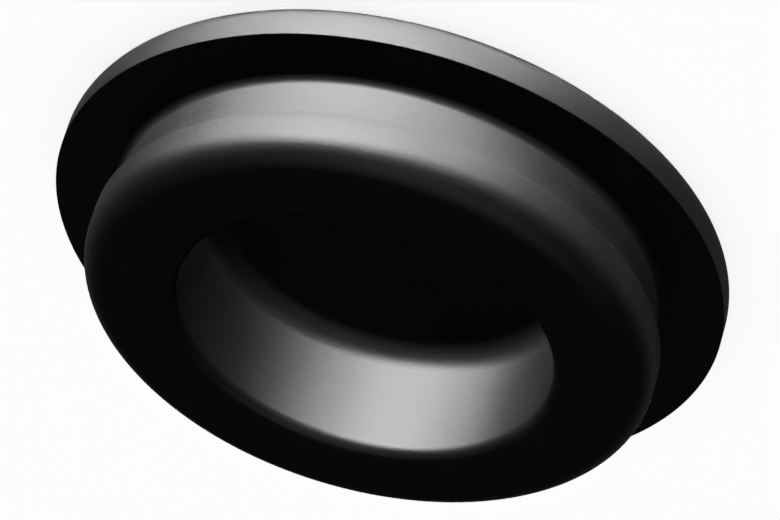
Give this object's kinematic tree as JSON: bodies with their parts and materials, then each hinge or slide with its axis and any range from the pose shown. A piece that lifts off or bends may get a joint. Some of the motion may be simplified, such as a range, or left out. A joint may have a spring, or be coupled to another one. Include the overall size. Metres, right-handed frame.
{
  "type": "rubber grommet",
  "caption": "Blind rubber grommet: a wide thin flange, a groove for a panel's edge, a snap-in lip and a round recess closed by a thin membrane.",
  "frame": {"origin": "centre of the flange's flat outer face, which the grommet rests on", "axes": "+Z along the round axis, from the flange towards the lip and the open mouth of the recess; X and Y lie in the outer face, in any direction, because the part is round"},
  "size_m": [0.025, 0.025, 0.0053],
  "materials": {
    "rubber": "moulded black rubber with a soft sheen"
  },
  "bodies": {
    "root": {"grommet": "rubber"}
  },
  "joints": []
}
